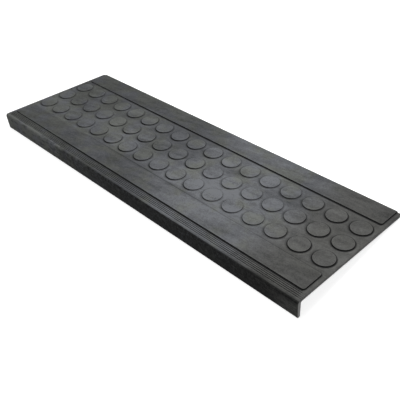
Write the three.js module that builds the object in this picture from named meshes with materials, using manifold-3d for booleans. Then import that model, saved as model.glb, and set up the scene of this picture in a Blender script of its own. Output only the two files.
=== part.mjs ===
// An anti-slip mat for one stair tread: a single moulding of black rubber.
// A thin plate lies on the tread and a lip hangs down over the step's edge.
// The top carries rows of round studs between a front and a back panel,
// and fine grooves run along the nose. Nothing on it moves.
// Millimetres, +Z up, X along the step, the lip on the -Y side.

import * as THREE from 'three';
import { mergeVertices } from 'three/addons/utils/BufferGeometryUtils.js';
import Module from 'manifold-3d';

// Overall size of the mat, measured on the plate as it lies on a stair.
const length = 750;
const depth = 250;
const plateThickness = 4.2;
const backCornerRadius = 4.5;

// The lip: a tapering wall that leans back a little under the nose.
const lipDrop = 28;
const lipRootThickness = 6.6;
const lipFootThickness = 5;
const lipLean = 2;
const noseRadius = 5;
const insideFillet = 2.5;
const footRadius = 1.3;
const heelRadius = 0.6;

// Everything raised on the top stands this high, with a small bevel round it.
const raise = 1.8;
const bevel = 0.5;

// The plain panels in front of and behind the studs.
const panelEndMargin = 7.5;
const panelCornerRadius = 4;
const frontPanelStart = 21;
const frontPanelDepth = 41;
const backPanelDepth = 43.5;

// The studs: round coins in straight rows and columns.
const studDiameter = 33.5;
const studColumns = 17;
const studRows = 3;
const studColumnPitch = 43.75;
const studRowPitch = 45.2;
const studSides = 24;

// The fine grooves along the nose, from the front.
const grooveCount = 4;
const groovePitch = 3.2;
const grooveWidth = 1.3;
const grooveDepth = 0.6;
const grooveStart = 7;
const grooveEndMargin = 5.5;

// How far a tool or a raised form runs into or past the solid it joins or cuts.
const overlap = 1;

const rubber = new THREE.MeshStandardMaterial({ color: 0x2b2b2c, roughness: 0.72, metalness: 0 });

const wasm = await Module();
wasm.setup();

// A geometry with its shared corners merged, as a solid that can be joined and cut.
function solid(geometry) {
  const plain = geometry.clone();
  plain.deleteAttribute('normal');
  plain.deleteAttribute('uv');
  const merged = mergeVertices(plain, 1e-4);
  const mesh = new wasm.Mesh({
    numProp: 3,
    vertProperties: new Float32Array(merged.attributes.position.array),
    triVerts: new Uint32Array(merged.index.array),
  });
  return new wasm.Manifold(mesh);
}

// A solid as a geometry with flat facets.
function geometryOf(body) {
  const { vertProperties, triVerts } = body.getMesh();
  const geometry = new THREE.BufferGeometry();
  geometry.setAttribute('position', new THREE.BufferAttribute(new Float32Array(vertProperties), 3));
  geometry.setIndex(new THREE.BufferAttribute(new Uint32Array(triVerts), 1));
  geometry.computeVertexNormals();
  return geometry;
}

// The arc that rounds one corner of an outline whose corners are [x, y, radius].
function cornerArc(corners, index) {
  const [x, y, radius] = corners[index];
  const before = corners.at(index - 1);
  const after = corners[(index + 1) % corners.length];
  const into = new THREE.Vector2(x - before[0], y - before[1]).normalize();
  const out = new THREE.Vector2(after[0] - x, after[1] - y).normalize();
  const turn = Math.atan2(into.cross(out), into.dot(out));
  const setBack = radius * Math.tan(Math.abs(turn) / 2);
  const inward = new THREE.Vector2(-into.y, into.x).multiplyScalar(radius * Math.sign(turn));
  const start = new THREE.Vector2(x, y).addScaledVector(into, -setBack);
  const centre = start.clone().add(inward);
  return { centre, radius, turn, from: Math.atan2(-inward.y, -inward.x) };
}

// A closed outline with each corner rounded by its own radius, or left sharp at 0.
function roundedOutline(corners) {
  const shape = new THREE.Shape();
  corners.forEach(([x, y, radius], index) => {
    if (radius > 0) {
      const arc = cornerArc(corners, index);
      shape.absarc(arc.centre.x, arc.centre.y, radius, arc.from, arc.from + arc.turn, arc.turn < 0);
    } else if (index === 0) {
      shape.moveTo(x, y);
    } else {
      shape.lineTo(x, y);
    }
  });
  return shape;
}

// An outline drawn in depth and height, drawn out along the step and centred on it.
function alongStep(shape, span, curveSegments) {
  const geometry = new THREE.ExtrudeGeometry(shape, { depth: span, curveSegments, bevelEnabled: false });
  geometry.translate(0, 0, -span / 2);
  const turned = new THREE.Matrix4().makeBasis(
    new THREE.Vector3(0, 1, 0),
    new THREE.Vector3(0, 0, 1),
    new THREE.Vector3(1, 0, 0),
  );
  return geometry.applyMatrix4(turned);
}

// The corners of the mat's cross-section in depth and height, from the heel round the nose.
// The plate's underside is at height 0 and the nose's outermost point at depth 0.
function sectionCorners() {
  const faceRun = plateThickness + lipDrop;
  const leanAt = (height) => (lipLean * (plateThickness - height)) / faceRun;
  return [
    [depth, 0, heelRadius],
    [depth, plateThickness, 0],
    [0, plateThickness, noseRadius],
    [leanAt(-lipDrop), -lipDrop, footRadius],
    [leanAt(-lipDrop) + lipFootThickness, -lipDrop, footRadius],
    [lipRootThickness, 0, insideFillet],
  ];
}

// The plate and its lip in one piece, plain on top.
function plateAndLip() {
  return solid(alongStep(roundedOutline(sectionCorners()), length, 4));
}

// The mat's outline seen from above, taller than the mat, with rounded back corners.
function planTrim() {
  const half = length / 2;
  const front = -noseRadius;
  const shape = roundedOutline([
    [-half, front, 0],
    [half, front, 0],
    [half, depth, backCornerRadius],
    [-half, depth, backCornerRadius],
  ]);
  const bottom = -lipDrop - overlap;
  const height = plateThickness + raise + overlap - bottom;
  const geometry = new THREE.ExtrudeGeometry(shape, { depth: height, curveSegments: 3, bevelEnabled: false });
  return solid(geometry.translate(0, 0, bottom));
}

// A raised form with a bevelled rim, sunk a little into the plate that carries it.
function raised(shape, curveSegments) {
  const geometry = new THREE.ExtrudeGeometry(shape, {
    depth: overlap + raise - 2 * bevel,
    curveSegments,
    bevelEnabled: true,
    bevelSegments: 1,
    bevelSize: bevel,
    bevelOffset: -bevel,
    bevelThickness: bevel,
  });
  return geometry.translate(0, 0, plateThickness - overlap + bevel);
}

function panel(start, end) {
  const half = length / 2 - panelEndMargin;
  return solid(raised(roundedOutline([
    [-half, start, panelCornerRadius],
    [half, start, panelCornerRadius],
    [half, end, panelCornerRadius],
    [-half, end, panelCornerRadius],
  ]), 3));
}

// The back panel runs out over the back edge, where the plan outline trims it flush.
function panels() {
  const front = panel(frontPanelStart, frontPanelStart + frontPanelDepth);
  const back = panel(depth - backPanelDepth, depth + panelCornerRadius + bevel);
  return [front, back];
}

// The field of studs is centred on the length, and between the two panels.
function studs() {
  const outline = new THREE.Shape().absarc(0, 0, studDiameter / 2, 0, 2 * Math.PI, false);
  const one = solid(raised(outline, studSides / 2));
  const middle = (frontPanelStart + frontPanelDepth + depth - backPanelDepth) / 2;
  const all = [];
  for (let column = 0; column < studColumns; column += 1) {
    for (let row = 0; row < studRows; row += 1) {
      const x = (column - (studColumns - 1) / 2) * studColumnPitch;
      const y = middle + (row - (studRows - 1) / 2) * studRowPitch;
      all.push(one.translate([x, y, 0]));
    }
  }
  return all;
}

function grooves() {
  const half = grooveWidth / 2;
  const all = [];
  for (let index = 0; index < grooveCount; index += 1) {
    const y = grooveStart + index * groovePitch;
    const cut = roundedOutline([
      [y - half, plateThickness, 0],
      [y, plateThickness - grooveDepth, 0],
      [y + half, plateThickness, 0],
      [y + half, plateThickness + overlap, 0],
      [y - half, plateThickness + overlap, 0],
    ]);
    all.push(solid(alongStep(cut, length - 2 * grooveEndMargin, 1)));
  }
  return all;
}

// The angle at which the mat lies on a floor, on its lip's foot and its heel.
function restingTilt() {
  const corners = sectionCorners();
  const foot = cornerArc(corners, 4);
  const heel = cornerArc(corners, 0);
  const across = heel.centre.clone().sub(foot.centre);
  return across.angle() - Math.asin((heel.radius - foot.radius) / across.length());
}

const forms = wasm.Manifold.union([plateAndLip(), ...panels(), ...studs()]);
const trimmed = forms.intersect(planTrim());
const moulding = trimmed.subtract(wasm.Manifold.union(grooves()));

const mat = new THREE.Mesh(geometryOf(moulding), rubber);
mat.name = 'tread_mat';

// The mat lies tilted, as on a floor, with the origin on the floor under its middle.
mat.rotation.x = -restingTilt();
const box = new THREE.Box3().setFromObject(mat, true);
mat.position.set(0, -(box.min.y + box.max.y) / 2, -box.min.z);

const model = new THREE.Group();
model.add(mat);

export default model;
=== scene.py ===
import math

import bmesh
import bpy
from mathutils import Matrix, Vector


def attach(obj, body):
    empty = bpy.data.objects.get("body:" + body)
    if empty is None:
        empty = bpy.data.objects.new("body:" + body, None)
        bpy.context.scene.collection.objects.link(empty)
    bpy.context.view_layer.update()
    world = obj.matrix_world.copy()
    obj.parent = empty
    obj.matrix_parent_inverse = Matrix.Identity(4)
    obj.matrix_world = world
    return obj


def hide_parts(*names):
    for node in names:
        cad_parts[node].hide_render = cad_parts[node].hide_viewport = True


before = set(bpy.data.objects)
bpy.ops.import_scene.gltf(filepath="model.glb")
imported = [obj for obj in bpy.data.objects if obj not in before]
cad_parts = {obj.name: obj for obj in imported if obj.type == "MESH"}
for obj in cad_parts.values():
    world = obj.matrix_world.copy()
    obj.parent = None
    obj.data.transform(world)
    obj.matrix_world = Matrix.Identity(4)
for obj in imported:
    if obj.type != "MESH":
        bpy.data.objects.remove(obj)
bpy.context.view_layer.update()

# The plate, its grooved nose and the lip that hangs over the step's edge.
# Black rubber, drawn here as it leaves the mould: level, in millimetres, with
# the nose's front at y = 0 and the plate's underside at z = 0.

LENGTH = 750.0
DEPTH = 250.0
HALF = LENGTH / 2
PLATE = 4.2
LIP_DROP = 28.0
LIP_ROOT = 6.6
LIP_FOOT = 5.0
LIP_LEAN = 2.0
LIP_BOW = 0.8
NOSE_RADIUS = 5.0
LIP_INSIDE_RADIUS = 2.5
LIP_FOOT_RADIUS = 1.3
BACK_TOP_RADIUS = 0.45
BACK_FOOT_RADIUS = 0.6
BACK_CORNER = 4.5
END_EDGE = 0.4
GROOVES = [7.0, 10.2, 13.4, 16.6]
GROOVE_HALF_WIDTH = 0.8
GROOVE_DEPTH = 0.6
GROOVE_END = 5.6
GROOVE_RUN_OUT = 1.2
GROOVE_STEPS = 10
STATION_STEP = 15.0
CORNER_STEPS = 10
EDGE_STEPS = 6


def rounded_corners(corners):
    """A closed outline from corners given as (x, y, radius, steps)."""
    points = []
    for i, (x, y, radius, steps) in enumerate(corners):
        here = Vector((x, y))
        if radius == 0:
            points.append(here)
            continue
        into = (here - Vector(corners[i - 1][:2])).normalized()
        out = (Vector(corners[(i + 1) % len(corners)][:2]) - here).normalized()
        turn = math.atan2(into.x * out.y - into.y * out.x, into.dot(out))
        inward = Vector((-into.y, into.x)) * math.copysign(radius, turn)
        centre = here - into * radius * math.tan(abs(turn) / 2) + inward
        for k in range(steps + 1):
            points.append(centre + Matrix.Rotation(turn * k / steps, 2) @ (-inward))
    return points


def outward_normals(points):
    """The outward direction at each point of a closed outline, longer at a sharp corner."""
    normals = []
    for i, here in enumerate(points):
        before = (here - points[i - 1]).normalized()
        after = (points[(i + 1) % len(points)] - here).normalized()
        across = Vector((before.y + after.y, -before.x - after.x))
        normals.append(across * 2 / across.length_squared)
    return normals


def cross_section():
    """Points round the mat's section, and how deep the grooves cut the nose at each."""
    outline = rounded_corners([
        (DEPTH, 0, BACK_FOOT_RADIUS, 6),
        (DEPTH, PLATE, BACK_TOP_RADIUS, 6),
        (0, PLATE, NOSE_RADIUS, 18),
        (LIP_LEAN, -LIP_DROP, LIP_FOOT_RADIUS, 8),
        (LIP_LEAN + LIP_FOOT, -LIP_DROP, LIP_FOOT_RADIUS, 8),
        (LIP_ROOT, 0, LIP_INSIDE_RADIUS, 8),
    ])
    points = []
    cuts = []
    for i, here in enumerate(outline):
        points.append(here)
        cuts.append(0.0)
        after = outline[(i + 1) % len(outline)]
        is_top = here.x - after.x > DEPTH / 2 and here.y > PLATE / 2
        if not is_top:
            continue
        for middle in reversed(GROOVES):
            for k in range(GROOVE_STEPS + 1):
                across = 1 - 2 * k / GROOVE_STEPS
                points.append(Vector((middle + across * GROOVE_HALF_WIDTH, PLATE)))
                cuts.append(GROOVE_DEPTH * (1 + math.cos(math.pi * across)) / 2)
    return points, cuts


def stations():
    """Where the section is drawn along the mat: (x, how far the back corner steps in, edge rounding)."""
    straight = [STATION_STEP * k for k in range(int(HALF / STATION_STEP))]
    straight += [HALF - GROOVE_END - GROOVE_RUN_OUT, HALF - GROOVE_END]
    right = [(x, 0.0, 0.0) for x in straight]
    for k in range(CORNER_STEPS + 1):
        turn = math.pi / 2 * k / CORNER_STEPS
        x = HALF - BACK_CORNER + BACK_CORNER * math.sin(turn)
        if x < HALF - END_EDGE:
            right.append((x, BACK_CORNER * (1 - math.cos(turn)), 0.0))
    for k in range(EDGE_STEPS + 1):
        turn = math.pi / 2 * k / EDGE_STEPS
        x = HALF - END_EDGE + END_EDGE * math.sin(turn)
        beyond = x - HALF + BACK_CORNER
        step_in = BACK_CORNER - math.sqrt(max(0.0, BACK_CORNER ** 2 - beyond ** 2))
        right.append((x, step_in, END_EDGE * (1 - math.cos(turn))))
    left = [(-x, step_in, edge) for x, step_in, edge in reversed(right[1:])]
    return left + right


def plate_and_lip():
    """The section drawn along the mat, with its grooves, back corners and the lip's slight bow."""
    mesh = bmesh.new()
    section, cuts = cross_section()
    normals = outward_normals(section)
    rings = []
    for x, step_in, edge in stations():
        grooved = min(1.0, max(0.0, (HALF - GROOVE_END - abs(x)) / GROOVE_RUN_OUT))
        bow = LIP_BOW * (1 - (x / HALF) ** 2)
        ring = []
        for point, normal, cut in zip(section, normals, cuts):
            y, z = point - normal * edge
            if point.x > DEPTH / 2:
                y -= step_in
            if z < 0:
                z += bow * (z / LIP_DROP) ** 2
            ring.append(mesh.verts.new((x, y, z - cut * grooved)))
        rings.append(ring)
    count = len(section)
    for near, far in zip(rings, rings[1:]):
        for i in range(count):
            j = (i + 1) % count
            mesh.faces.new((near[i], near[j], far[j], far[i]))
    mesh.faces.new(rings[0][::-1])
    mesh.faces.new(rings[-1])
    return mesh


# The two plain panels, raised in the same rubber in front of and behind the
# studs. Each has a small fillet where it meets the plate and a softened rim;
# the back one runs out flush with the mat's back edge.

RAISE = 1.8
FILLET = 0.34
FILLET_TURNS = (14, 31, 46, 61, 76, 88)
FILLET_START = 0.76
FILLET_SINK = 0.961
RIM = 0.5
RIM_STEPS = 6
DRAFT = 0.12
TOP_RING = 0.6
SUNK = 1.2
SUNK_AT_BACK = 2.0
PANEL_END = HALF - 7.5
PANEL_CORNER = 4.0
FRONT_PANEL = (21.0, 62.0)
BACK_PANEL = (206.5, DEPTH)


def raised_edge():
    """The edge of a raised form, from inside the plate up: (how far out, height above the plate)."""
    steps = [(FILLET * FILLET_START, -SUNK)]
    for degrees in FILLET_TURNS:
        turn = math.radians(degrees)
        steps.append((FILLET * (1 - math.sin(turn)), FILLET * (FILLET_SINK - math.cos(turn))))
    for k in range(RIM_STEPS + 1):
        turn = math.pi / 2 * k / RIM_STEPS
        steps.append((RIM * (math.cos(turn) - 1) - DRAFT, RAISE + RIM * (math.sin(turn) - 1)))
    steps.append((-RIM - DRAFT - TOP_RING, RAISE))
    return steps


def raised_form(mesh, outline, flush_back=False):
    """A closed shell from the raised edge drawn round an outline."""
    normals = outward_normals(outline)
    rings = []
    for out, height in raised_edge():
        ring = []
        for point, normal in zip(outline, normals):
            x, y = point + normal * out
            z = PLATE + height
            if flush_back and point.y == DEPTH:
                y = DEPTH + min(0.0, out + DRAFT)
                z = PLATE - SUNK_AT_BACK if height == -SUNK else z
            ring.append(mesh.verts.new((x, y, z)))
        rings.append(ring)
    count = len(outline)
    for low, high in zip(rings, rings[1:]):
        for i in range(count):
            j = (i + 1) % count
            mesh.faces.new((low[i], low[j], high[j], high[i]))
    mesh.faces.new(rings[0][::-1])
    mesh.faces.new(rings[-1])


def panel_outline(front, back, back_radius):
    """A panel seen from above, from its front edge to its back one."""
    return rounded_corners([
        (-PANEL_END, front, PANEL_CORNER, 8),
        (PANEL_END, front, PANEL_CORNER, 8),
        (PANEL_END, back, back_radius, 8),
        (-PANEL_END, back, back_radius, 8),
    ])


raised = bmesh.new()
raised_form(raised, panel_outline(*FRONT_PANEL, PANEL_CORNER))
raised_form(raised, panel_outline(*BACK_PANEL, 0), flush_back=True)

# The studs: 17 by 3 round coins of the same rubber, in straight rows and
# columns midway between the panels, with the same fillet and rim as these.

STUD_RADIUS = 16.75
STUD_COLUMNS = 17
STUD_ROWS = 3
STUD_PITCH_X = 43.75
STUD_PITCH_Y = 45.2
STUD_MIDDLE_Y = (FRONT_PANEL[1] + BACK_PANEL[0]) / 2
STUD_SIDES = 64

stud_turns = [2 * math.pi * k / STUD_SIDES for k in range(STUD_SIDES)]
for column in range(STUD_COLUMNS):
    for row in range(STUD_ROWS):
        stud_x = (column - (STUD_COLUMNS - 1) / 2) * STUD_PITCH_X
        stud_y = STUD_MIDDLE_Y + (row - (STUD_ROWS - 1) / 2) * STUD_PITCH_Y
        raised_form(raised, [
            Vector((stud_x + STUD_RADIUS * math.cos(turn), stud_y + STUD_RADIUS * math.sin(turn)))
            for turn in stud_turns
        ])

# The whole mat: plate, lip, panels and studs are one moulding, so they are
# joined into one skin. It lies on its lip's foot and its back edge, and so
# the plate falls a little towards the back.

MILLIMETRE = 0.001
REST_TILT = math.radians(6.5548494)
REST_PLACE = Vector((0, -0.1239526, 0.0284720))
SHARP_EDGE = math.radians(17)


def as_object(name, mesh):
    """A bmesh in millimetres as an object in metres."""
    data = bpy.data.meshes.new(name)
    bmesh.ops.scale(mesh, vec=(MILLIMETRE, MILLIMETRE, MILLIMETRE), verts=mesh.verts)
    mesh.to_mesh(data)
    mesh.free()
    made = bpy.data.objects.new(name, data)
    bpy.context.scene.collection.objects.link(made)
    return made


tread_mat = as_object("tread_mat_moulding", plate_and_lip())
raised_forms = as_object("raised_forms", raised)
union = tread_mat.modifiers.new("union", "BOOLEAN")
union.operation = "UNION"
union.solver = "MANIFOLD"
union.object = raised_forms
evaluated = tread_mat.evaluated_get(bpy.context.evaluated_depsgraph_get())
moulding = bpy.data.meshes.new_from_object(evaluated)
tread_mat.modifiers.clear()
tread_mat.data = moulding
bpy.data.objects.remove(raised_forms)

moulding.transform(Matrix.Translation(REST_PLACE) @ Matrix.Rotation(-REST_TILT, 4, "X"))
moulding.shade_smooth()
moulding.set_sharp_from_angle(angle=SHARP_EDGE)

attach(tread_mat, "root")
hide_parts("tread_mat")

# The rubber is black all through. Its upper faces carry a thin grey film of
# dust and bloom in soft patches, and it has a fine moulded grain and faint wipes.
# Painted into the same colour are shade at the foot of each raised edge, a
# painted shadow beside each stud, a painted sheen that is brightest right of the
# middle, painted light on faces turned to the lamps, and the cut ends painted
# pale as reflected light.

BLACK_RUBBER = (0.011, 0.0112, 0.0114, 1)
BARE_RUBBER = (0.004, 0.004, 0.004, 1)
# Pale grey painted on the cut ends as reflected light; the rubber there is as black as elsewhere.
CUT_END_LIGHT = (0.25, 0.25, 0.25, 1)
DUST_COOL = (0.1320, 0.1370, 0.1470, 1)
DUST_OLIVE = (0.1332, 0.1384, 0.1308, 1)
DUST_WARM = (0.1390, 0.1385, 0.1310, 1)


def clear_nodes(owner):
    """The node tree of a material or world, emptied."""
    owner.use_nodes = True
    owner.node_tree.nodes.clear()
    return owner.node_tree


def add(tree, kind, settings=None, **inputs):
    """A node with its settings, and its inputs given as values or as other nodes' outputs."""
    made = tree.nodes.new(kind)
    for key, value in (settings or {}).items():
        setattr(made, key, value)
    for key, value in inputs.items():
        socket = made.inputs[int(key[1:])] if key[1:].isdigit() else made.inputs[key.replace("_", " ")]
        if isinstance(value, bpy.types.NodeSocket):
            tree.links.new(value, socket)
        else:
            socket.default_value = value
    return made


def tree_of(*values):
    """The node tree that the outputs among these values belong to."""
    return next(value.id_data for value in values if isinstance(value, bpy.types.NodeSocket))


def calc(operation, a, b=0.0, c=0.0):
    return add(tree_of(a, b, c), "ShaderNodeMath", {"operation": operation}, i0=a, i1=b, i2=c).outputs[0]


def product(first, *others):
    """The outputs and numbers multiplied together."""
    for factor in others:
        first = calc("MULTIPLY", first, factor)
    return first


def total(first, *others):
    """The outputs and numbers added together."""
    for term in others:
        first = calc("ADD", first, term)
    return first


def what_is_left(taken):
    return calc("SUBTRACT", 1.0, taken)


def vector(operation, a, b=(0, 0, 0)):
    made = add(tree_of(a, b), "ShaderNodeVectorMath", {"operation": operation}, i0=a, i1=b)
    return made.outputs["Value" if operation in ("LENGTH", "DOT_PRODUCT") else "Vector"]


def ramp(value, low, high, to_low=0.0, to_high=1.0):
    """A soft change from to_low, where value is low, to to_high, where it is high."""
    made = add(tree_of(value), "ShaderNodeMapRange", {"interpolation_type": "SMOOTHSTEP"}, Value=value)
    for name, number in zip(("From Min", "From Max", "To Min", "To Max"), (low, high, to_low, to_high)):
        made.inputs[name].default_value = number
    return made.outputs[0]


def noise(place, size, detail, roughness, distortion=0.0):
    """Soft noise whose patches are about size millimetres across."""
    return add(tree_of(place), "ShaderNodeTexNoise", Vector=place, Scale=1 / size, Detail=detail,
               Roughness=roughness, Distortion=distortion).outputs["Fac"]


def sway(pattern, least, most):
    """A noise pattern as an amount that wanders from least to most."""
    return ramp(pattern, 0.3, 0.7, least, most)


def drawn_out(place, stretch, turn):
    """Coordinates for a pattern that is stretched along the mat and turned a little."""
    return add(tree_of(place), "ShaderNodeMapping", {"vector_type": "TEXTURE"}, Vector=place,
               Scale=stretch, Rotation=(0, 0, turn)).outputs[0]


def blend(amount, a, b):
    return add(tree_of(amount), "ShaderNodeMix", {"data_type": "RGBA"}, i0=amount, i6=a, i7=b).outputs[2]


rubber = bpy.data.materials.new("black_rubber")
tree = clear_nodes(rubber)
place = add(tree, "ShaderNodeTexCoord").outputs["Object"]
level = add(tree, "ShaderNodeMapping", {"vector_type": "TEXTURE"}, Vector=place, Location=REST_PLACE,
            Rotation=(-REST_TILT, 0, 0), Scale=(MILLIMETRE, MILLIMETRE, MILLIMETRE)).outputs[0]
along, deep, high = add(tree, "ShaderNodeSeparateXYZ", Vector=level).outputs
facing = add(tree, "ShaderNodeNewGeometry").outputs["Normal"]
facing_end, _, facing_up = add(tree, "ShaderNodeSeparateXYZ", Vector=facing).outputs

# The patterns that the dust, the wipes and the grain follow.
dust_place = drawn_out(level, (2.6, 1, 1), 0.4)
wipes_place = drawn_out(level, (8, 1, 1), 0.1)
scuffs_place = drawn_out(level, (14, 1.1, 1), 0.55)
clouds = noise(dust_place, 60, 5, 0.6, 0.6)
patches = noise(dust_place, 16, 5, 0.6, 0.3)
blotches = noise(level, 7, 2, 0.6)
wipes = noise(wipes_place, 9, 3, 0.6)
fine_wipes = noise(wipes_place, 3, 3, 0.6)
scuffs = ramp(noise(scuffs_place, 2.5, 4, 0.65), 0.62, 0.74, 0, 0.12)
grain = noise(level, 2.2, 3, 0.75)
fine_grain = noise(level, 0.7, 3, 0.6)

# How far a point of the top lies from the nearest stud and panel, in millimetres.
# The back panel counts as longer than it is, so that its flush edge is no edge.
PAST_THE_BACK = 20
ANY_HEIGHT = 1000
column_x = calc("WRAP", along, STUD_PITCH_X / 2, -STUD_PITCH_X / 2)
from_middle = calc("SUBTRACT", deep, STUD_MIDDLE_Y)
nearest_row = calc("ROUND", calc("DIVIDE", from_middle, STUD_PITCH_Y))
nearest_row = calc("MAXIMUM", calc("MINIMUM", nearest_row, 1.0), -1.0)
row_y = calc("SUBTRACT", from_middle, product(nearest_row, STUD_PITCH_Y))
to_stud = add(tree, "ShaderNodeCombineXYZ", X=column_x, Y=row_y).outputs[0]
from_stud = calc("SUBTRACT", vector("LENGTH", to_stud), STUD_RADIUS)
from_panels = []
for front, back in (FRONT_PANEL, (BACK_PANEL[0], DEPTH + PAST_THE_BACK)):
    reach = (PANEL_END - PANEL_CORNER, (back - front) / 2 - PANEL_CORNER, ANY_HEIGHT)
    offset = vector("ABSOLUTE", vector("SUBTRACT", level, (0, (front + back) / 2, 0)))
    beyond = vector("MAXIMUM", vector("SUBTRACT", offset, reach))
    from_panels.append(calc("SUBTRACT", vector("LENGTH", beyond), PANEL_CORNER))
from_panel = calc("MINIMUM", *from_panels)
nearest = calc("MINIMUM", from_stud, from_panel)
among_studs = calc("LESS_THAN", from_stud, from_panel)

# Which points are on the plate's top, and which on the rims of the raised forms.
# Here and below, two numbers are where a soft change starts and ends, and a third
# and fourth are the shares at its start and its end, which are 0 and 1 otherwise.
PLATE_FROM = (PLATE - 0.7, PLATE - 0.3)
PLATE_TO = (PLATE + 0.4, PLATE + 1.5, 1, 0)
RIM_ACROSS = (-1.5, -0.4)
RIM_FROM = (PLATE + 1.2, PLATE + 1.7)
on_plate = product(ramp(high, *PLATE_FROM), ramp(high, *PLATE_TO))
on_rim = product(ramp(nearest, *RIM_ACROSS), ramp(high, *RIM_FROM))

# Painted shade: the dark line at the foot of each raised edge, a painted contact
# shadow. It is lighter on a stud's right-hand side, which faces the lamps, than
# on its left-hand one, which also gets a soft painted shadow cast to the left, and
# the line is strongest in the middle and at the right end.
TO_THE_RIGHT = (0.93, 0.37, 0)
STRONGEST_AT = -45
RIGHT_END = (170, 320)
STUD_FOOT_SHADE = (0.9, 2.9, 1, 0)
STUD_FOOT_LIT_SIDE = (-0.3, 0.7, 1, 0.38)
STUD_FOOT_OFF_MIDDLE = (90, 170, 1, 0.62)
STUD_FOOT_AT_RIGHT_END = 0.95
STUD_SHADOW = (1.5, 6.5, 0.42, 0)
STUD_SHADOW_SIDE = (-0.8, -0.1, 1, 0)
PANEL_FOOT_SHADE = (1.4, 3.3, 1, 0)
PANEL_FOOT_AT_LEFT = (-340, -100, 0.28, 1)
PANEL_FOOT_NARROWED = (PANEL_END - 2, PANEL_END + 1, 0, 1.3)
BEHIND_PANEL = FRONT_PANEL[1] + 3
BEHIND_PANEL_HALF = 3
BEHIND_PANEL_LIT = 0.75
turned_right = vector("DOT_PRODUCT", vector("NORMALIZE", to_stud), TO_THE_RIGHT)
off_middle = calc("ABSOLUTE", total(along, -STRONGEST_AT))
right_end = ramp(along, *RIGHT_END)
kept_at_end = product(right_end, STUD_FOOT_AT_RIGHT_END)
kept_at_side = calc("MAXIMUM", ramp(turned_right, *STUD_FOOT_LIT_SIDE), kept_at_end)
kept_off_middle = calc("MAXIMUM", ramp(off_middle, *STUD_FOOT_OFF_MIDDLE), right_end)
stud_foot_shade = product(ramp(from_stud, *STUD_FOOT_SHADE), kept_at_side, kept_off_middle)
# The painted shadow that each stud casts to its left.
stud_shadow = product(ramp(from_stud, *STUD_SHADOW), ramp(turned_right, *STUD_SHADOW_SIDE))
narrowed = ramp(calc("ABSOLUTE", along), *PANEL_FOOT_NARROWED)
panel_foot_shade = product(ramp(total(from_panel, narrowed), *PANEL_FOOT_SHADE), ramp(along, *PANEL_FOOT_AT_LEFT))
# Just behind the front panel, on the side towards the lamp behind, most of the painted shade is left out.
behind_panel = calc("COMPARE", deep, BEHIND_PANEL, BEHIND_PANEL_HALF)
foot_shade = calc("MAXIMUM", calc("MAXIMUM", stud_foot_shade, stud_shadow), panel_foot_shade)
foot_shade = product(foot_shade, on_plate, what_is_left(product(behind_panel, BEHIND_PANEL_LIT)))

# Where the film can lie: dust on what faces up, and painted light on the studs'
# right-hand sides and, near the right end, on the nose's rounding, which face the
# lamp at the right.
FACES_UP = (0.78, 0.93)
STUD_SIDE_LIT = (-0.4, 0.9, 0.05, 0.42)
STUD_SIDE_OFF_MIDDLE = (90, 170, 0, 0.2)
STUD_SIDE_AT_RIGHT = (170, 320, 1, 0.12)
STUD_SIDE_FROM = (PLATE - 0.7, PLATE + 0.1)
ROUNDING_FACES = (0.35, 0.75)
NOSE_ROUNDING_TO = (5, 6, 1, 0)
NOSE_ROUNDING_LIT = (60, 300, 0, 0.26)
stud_side_light = total(ramp(turned_right, *STUD_SIDE_LIT), ramp(off_middle, *STUD_SIDE_OFF_MIDDLE))
stud_side_light = product(stud_side_light, ramp(along, *STUD_SIDE_AT_RIGHT), among_studs, ramp(high, *STUD_SIDE_FROM))
nose_rounding_light = product(ramp(facing_up, *ROUNDING_FACES), ramp(deep, *NOSE_ROUNDING_TO),
                        ramp(along, *NOSE_ROUNDING_LIT))
dust_and_light_faces = calc("MAXIMUM", ramp(facing_up, *FACES_UP), stud_side_light)
dust_and_light_faces = calc("MAXIMUM", dust_and_light_faces, nose_rounding_light)

# The film itself, brightest a little right of the mat's middle and dimmer towards
# the ends and in bands front to back: partly dust worn by feet, partly a painted
# sheen of the lamps. For each band, where it starts or ends front to back, and
# its amount along the mat.
DIMMER_AT_LEFT = (-60, 110, 0.78, 1.03)
DIMMER_AT_RIGHT = (165, 330, 1, 0.68)
BRIGHTER_AT_LEFT_END = (-385, -310, 0.11, 0)
NOSE_DIMMED = (19, 22, 1, 0), (-250, -50, -0.03, 0.1)
FRONT_PANEL_DIMMED = (60, 63, 1, 0), (-100, 100, 0.22, 0.1)
BACK_PANEL_DIMMED = (200, 210, 0, 1), (-170, -10, 0.31, 0.23)
PLATE_FRONT_DIMMED = (62, 76, 1, 0), (-300, -60, -0.09, 0.24)
PLATE_DIMMED = (105, 170, 0.02, 0.2)
PLATE_STARTS = (62, 63)
# Places where the film is thinned or thickened: the middle, how far they reach, and the share of film
# lost there.
DIMMED_PLACES = [
    ((-20, 176), 108, 0.18),
    ((-115, 118), 70, -0.12),
    ((-45, 52), 80, 0.15),
    ((25, 10), 70, 0.16),
    ((148, 92), 85, -0.22),
]
# A soft darker line along the front panel's back edge: where it is darkest along the mat, and how far to
# each side.
DARK_LINE_AT = 10
DARK_LINE_ACROSS = (0.5, 5.0, 0.24, 0)
DARK_LINE_ALONG = (90, 230, 1, 0)


def band_dimmed(across, lengthwise):
    """How much a band of the mat is dimmed, partly wear and partly painted sheen: its extent front to
    back, times its amount along the mat.
    """
    return product(ramp(deep, *across), ramp(along, *lengthwise))


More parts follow.
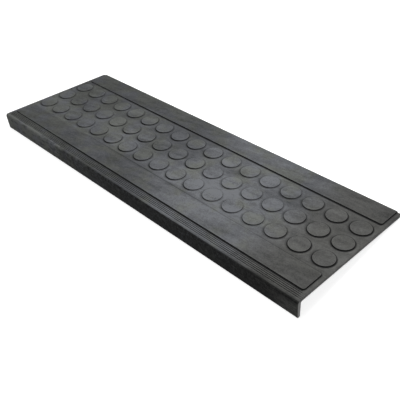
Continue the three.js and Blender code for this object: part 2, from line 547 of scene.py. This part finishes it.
film_and_light = total(sway(clouds, 0.74, 1.0), sway(patches, -0.12, 0.12), sway(wipes, -0.11, 0.11),
             sway(grain, -0.17, 0.17), sway(blotches, -0.08, 0.08))
sheen_and_dust_along = calc("MINIMUM", ramp(along, *DIMMER_AT_RIGHT), ramp(along, *DIMMER_AT_LEFT))
sheen_and_dust_along = total(sheen_and_dust_along, ramp(along, *BRIGHTER_AT_LEFT_END))
plate_dimming = total(ramp(deep, *PLATE_DIMMED), band_dimmed(*PLATE_FRONT_DIMMED))
plate_dimming = product(plate_dimming, on_plate, ramp(deep, *PLATE_STARTS))
dimming = total(band_dimmed(*FRONT_PANEL_DIMMED), band_dimmed(*NOSE_DIMMED), band_dimmed(*BACK_PANEL_DIMMED), plate_dimming)
for (x, y), reach, lost in DIMMED_PLACES:
    away = vector("LENGTH", vector("SUBTRACT", level, (x, y, 0)))
    dimming = total(dimming, ramp(away, 0.25 * reach, reach, lost, 0))
from_edge = calc("ABSOLUTE", calc("SUBTRACT", deep, FRONT_PANEL[1] + 1.0))
from_dark_line = calc("ABSOLUTE", calc("SUBTRACT", along, DARK_LINE_AT))
dimming = total(dimming, product(ramp(from_edge, *DARK_LINE_ACROSS), ramp(from_dark_line, *DARK_LINE_ALONG)))
film_and_light = product(film_and_light, sheen_and_dust_along, what_is_left(dimming))

# The nose: its grooves are darkened in places, partly bare of dust and partly
# painted shade in their hollows, dust lies thicker on the ridges between them,
# and near the left end its front edge carries a painted highlight.
HALF_PITCH = (GROOVES[1] - GROOVES[0]) / 2
GROOVE_DARK = (0.2, 0.9, 1, 0)
GROOVES_FROM = (5.4, 6.0)
GROOVES_TO = (17.6, 18.2, 1, 0)
GROOVE_AT_LEFT = (-340, -100, 0.5, 1)
GROOVE_IN_WIPES = (0.35, 0.6, 0.15, 0.68)
GROOVE_IN_PATCHES = (0.38, 0.62, 0.3, 1.3)
RIDGE_THICKER = (1.0, 1.5, 1.0, 1.3)
RIDGES_TO = (17.6, 19.6, 1, 0)
NOSE_EDGE_FROM = (1.8, 3.4)
NOSE_EDGE_TO = (4.6, 6.2, 1, 0)
NOSE_EDGE_HIGHLIGHT = (-380, -150, 0.42, 0)
NOSE_EDGE_IN_WIPES = (0.3, 0.6, 0.3, 1.2)
in_groove = calc("ABSOLUTE", calc("WRAP", calc("SUBTRACT", deep, GROOVES[0]), HALF_PITCH, -HALF_PITCH))
groove_dark = product(ramp(in_groove, *GROOVE_DARK), ramp(deep, *GROOVES_FROM), ramp(deep, *GROOVES_TO))
groove_dark = product(groove_dark, ramp(fine_wipes, *GROOVE_IN_WIPES), ramp(along, *GROOVE_AT_LEFT))
groove_dark = product(groove_dark, ramp(patches, *GROOVE_IN_PATCHES))
ridge = product(ramp(in_groove, *RIDGE_THICKER), ramp(deep, *RIDGES_TO))
film_and_light = product(film_and_light, calc("MAXIMUM", ridge, 1.0), what_is_left(groove_dark))
nose_edge_highlight = product(ramp(deep, *NOSE_EDGE_FROM), ramp(deep, *NOSE_EDGE_TO), ramp(along, *NOSE_EDGE_HIGHLIGHT))
film_and_light = total(film_and_light, product(nose_edge_highlight, ramp(wipes, *NOSE_EDGE_IN_WIPES)))

# Dust drifts up a little outside each dark line and on the mat's right edge, and
# the rims of the raised forms are rubbed pale.
DRIFT = 0.07
DRIFT_FROM = (2.6, 3.8)
DRIFT_TO = (4.0, 7.5, 1, 0)
RIGHT_EDGE_DRIFT = (362, 368, 0, 0.12)
RIM_PALE = 0.15
FOOT_SHADE_DEPTH = 0.97
drift = product(ramp(nearest, *DRIFT_FROM), ramp(nearest, *DRIFT_TO), DRIFT)
drift = product(total(drift, ramp(along, *RIGHT_EDGE_DRIFT)), on_plate)
film_and_light = total(film_and_light, drift, product(on_rim, RIM_PALE))
# The painted shade at the foot of each raised edge darkens the film here.
film_and_light = product(film_and_light, what_is_left(product(foot_shade, FOOT_SHADE_DEPTH)))
film_and_light = product(total(film_and_light, scuffs), dust_and_light_faces)

# The lip's front: smudged in patches, pale at its left end from a painted
# reflection, with painted light on the lower part of its right end, and a bare
# black foot.
LIP_LEFT_REFLECTION = (-400, 10, 1.25, 0.07)
LIP_SMUDGED_IN_PATCHES = (0.35, 0.65, 0.65, 1.25)
LIP_SMUDGED_IN_WIPES = (0.35, 0.65, 0.7, 1.3)
LIP_END_LIGHT = (312, 366, 0, 0.42)
LIP_END_LIGHT_TO = (-9, 1, 1, 0)
LIP_BARE_TO = (-27.6, -25.4, 1, 0)
LIP_BARE_ALONG = (-300, -100)
LIP_FRONT_TO = (5, 9, 1, 0)
smudge_and_light = product(ramp(along, *LIP_LEFT_REFLECTION), ramp(patches, *LIP_SMUDGED_IN_PATCHES),
                  sway(blotches, 0.75, 1.25))
lit_end = product(ramp(along, *LIP_END_LIGHT), ramp(high, *LIP_END_LIGHT_TO))
smudge_and_light = total(smudge_and_light, lit_end, sway(grain, -0.09, 0.09), sway(blotches, -0.04, 0.05))
bare_foot = product(ramp(high, *LIP_BARE_TO), ramp(along, *LIP_BARE_ALONG))
smudge_and_light = product(smudge_and_light, ramp(fine_wipes, *LIP_SMUDGED_IN_WIPES), what_is_left(bare_foot))
smudge_and_light = product(smudge_and_light, ramp(deep, *LIP_FRONT_TO))

# The underside and the lip's back have a faint chalky bloom.
UNDERSIDE_TO = (0.2, 0.9, 1, 0)
LIP_BACK_FROM = (4.6, 6.4)
CHALKY_IN_PATCHES = (0.35, 0.65, 0.10, 0.22)
underneath = product(ramp(high, *UNDERSIDE_TO), ramp(deep, *LIP_BACK_FROM))
chalky = total(ramp(patches, *CHALKY_IN_PATCHES), sway(clouds, -0.05, 0.08))
smudge_and_light = calc("MAXIMUM", smudge_and_light, product(underneath, chalky))
either = {"operation": "MAXIMUM", "use_clamp": True}
film_and_light = add(tree, "ShaderNodeMath", either, i0=film_and_light, i1=smudge_and_light).outputs[0]

# Colours: cool and olive dust in large patches, warmer at the right end, over
# black rubber. The cut ends are painted pale grey as reflected light, paler
# towards the lip's foot.
OLIVE_PATCH = 38
OLIVE_ALONG = (-260, 40, 0.035, -0.055)
OLIVE_FROM = (0.4, 0.6)
WARM_AT_RIGHT = (220, 310, 0, 0.85)
FACES_END = (0.3, 0.95)
END_FROM = (369.5, 371.0)
END_PALE = (-1.0, 4.5, 0.95, 0.25)
olive = total(noise(level, OLIVE_PATCH, 3, 0.5), ramp(along, *OLIVE_ALONG))
dust = blend(ramp(olive, *OLIVE_FROM), DUST_COOL, DUST_OLIVE)
dust = blend(ramp(along, *WARM_AT_RIGHT), dust, DUST_WARM)
colour = blend(film_and_light, BLACK_RUBBER, dust)
colour = blend(bare_foot, colour, BARE_RUBBER)
cut_end_light = product(ramp(calc("ABSOLUTE", facing_end), *FACES_END), ramp(high, *END_PALE),
                  ramp(calc("ABSOLUTE", along), *END_FROM))
colour = blend(cut_end_light, colour, CUT_END_LIGHT)

# The moulded grain and the top's slight unevenness are too fine for the mesh. Dusty
# places are a little rougher than bare ones.
GRAIN_HEIGHT = 0.00012
UNEVEN_HEIGHT = 0.004
ROUGHNESS_WITH_FILM = (0, 1, 0.6, 0.76)
height = total(product(fine_grain, 0.25), product(grain, 0.5))
grained = add(tree, "ShaderNodeBump", Height=height, Strength=0.5, Distance=GRAIN_HEIGHT).outputs[0]
uneven = add(tree, "ShaderNodeBump", Height=clouds, Normal=grained, Strength=0.35,
             Distance=UNEVEN_HEIGHT).outputs[0]

shader = add(tree, "ShaderNodeBsdfPrincipled", Base_Color=colour, Metallic=0.0,
             Roughness=ramp(film_and_light, *ROUGHNESS_WITH_FILM), Normal=uneven,
             Specular_IOR_Level=0.02, Diffuse_Roughness=0.6)
add(tree, "ShaderNodeOutputMaterial", Surface=shader.outputs[0])
tread_mat.data.materials.clear()
tread_mat.data.materials.append(rubber)

# The studio floor: a plain pale sheet. The camera sees it white, and it keeps
# the mat's soft shadow.

FLOOR_HALF = 6.0
FLOOR_DROP = 0.0002
FLOOR_PALE = (0.54, 0.54, 0.54, 1)
FLOOR_SPECKLE = (0.5, 0.5, 0.5, 1)
WHITE = (1, 1, 1, 1)
FLOOR_GLOW = (0.7, 2.0, 0.8, 1.0)


def seen_directly(tree, unseen, seen):
    """The shader seen, to the camera and in glossy and clear surfaces, and unseen to all other light."""
    path = add(tree, "ShaderNodeLightPath").outputs
    direct = calc("MAXIMUM", path["Is Camera Ray"], path["Is Glossy Ray"])
    direct = calc("MAXIMUM", direct, path["Is Transmission Ray"])
    return add(tree, "ShaderNodeMixShader", i0=direct, i1=unseen, i2=seen).outputs[0]


floor_mesh = bpy.data.meshes.new("studio_floor")
floor_corners = [(x * FLOOR_HALF, y * FLOOR_HALF, 0) for x, y in ((-1, -1), (1, -1), (1, 1), (-1, 1))]
floor_mesh.from_pydata(floor_corners, [], [(0, 1, 2, 3)])
floor = bpy.data.objects.new("studio_floor", floor_mesh)
floor.location.z = -FLOOR_DROP
bpy.context.scene.collection.objects.link(floor)

pale = bpy.data.materials.new("pale_floor")
tree = clear_nodes(pale)
speckle = add(tree, "ShaderNodeTexNoise", Scale=40.0, Detail=2.0).outputs["Fac"]
matt = add(tree, "ShaderNodeBsdfDiffuse", Color=blend(speckle, FLOOR_SPECKLE, FLOOR_PALE)).outputs[0]
far_off = vector("LENGTH", add(tree, "ShaderNodeTexCoord").outputs["Object"])
glow = add(tree, "ShaderNodeEmission", Color=WHITE, Strength=ramp(far_off, *FLOOR_GLOW)).outputs[0]
lifted = add(tree, "ShaderNodeAddShader", i0=matt, i1=glow).outputs[0]
add(tree, "ShaderNodeOutputMaterial", Surface=seen_directly(tree, matt, lifted))
floor.data.materials.append(pale)

# The studio light: soft lamps above the mat, behind it and off its two ends, in
# a white room that is brighter overhead than at the sides.

ROOM_BRIGHTNESS = (0.0, 0.9, 0.05, 0.42)

world = bpy.data.worlds.new("studio_room")
bpy.context.scene.world = world
tree = clear_nodes(world)
direction = add(tree, "ShaderNodeTexCoord").outputs["Generated"]
upwards = add(tree, "ShaderNodeSeparateXYZ", Vector=direction).outputs["Z"]
room = add(tree, "ShaderNodeBackground", Color=WHITE, Strength=ramp(upwards, *ROOM_BRIGHTNESS)).outputs[0]
backdrop = add(tree, "ShaderNodeBackground", Color=WHITE, Strength=1.0).outputs[0]
add(tree, "ShaderNodeOutputWorld", Surface=seen_directly(tree, room, backdrop))


def lamp(name, place, size, power):
    """A rectangular lamp that faces the middle of the mat."""
    data = bpy.data.lights.new(name, "AREA")
    data.shape = "RECTANGLE"
    data.size, data.size_y = size
    data.energy = power
    made = bpy.data.objects.new(name, data)
    made.location = place
    made.rotation_euler = Vector(place).to_track_quat("Z", "Y").to_euler()
    made.visible_camera = False
    bpy.context.scene.collection.objects.link(made)


lamp("lamp_above", (0.2, 0.06, 0.5), (0.45, 0.3), 2.7)
lamp("lamp_behind", (-0.5, 1.1, 1.4), (1.2, 0.8), 14.0)
lamp("lamp_right", (1.8, 0.0, 0.3), (0.7, 0.4), 7.0)
lamp("lamp_left", (-0.95, -0.75, 0.3), (0.4, 0.3), 2.0)

# The camera stands in front of the mat's right end, above it, and looks down
# along it to the left. It has no lens shift, so other views stay centred.

CAMERA_PLACE = (0.67737, -0.49531, 0.63615)
CAMERA_TURN = (48.6914, 6.8722, 45.5528)
SENSOR_WIDTH = 36.0
FOCAL_LENGTH = 52.716

camera = bpy.data.objects.new("camera", bpy.data.cameras.new("camera"))
bpy.context.scene.collection.objects.link(camera)
camera.location = CAMERA_PLACE
camera.rotation_euler = [math.radians(angle) for angle in CAMERA_TURN]
camera.data.sensor_width = SENSOR_WIDTH
camera.data.lens = FOCAL_LENGTH
camera.data.clip_start = 0.01
camera.data.clip_end = 50.0
bpy.context.scene.camera = camera
bpy.context.scene.view_settings.view_transform = "Standard"
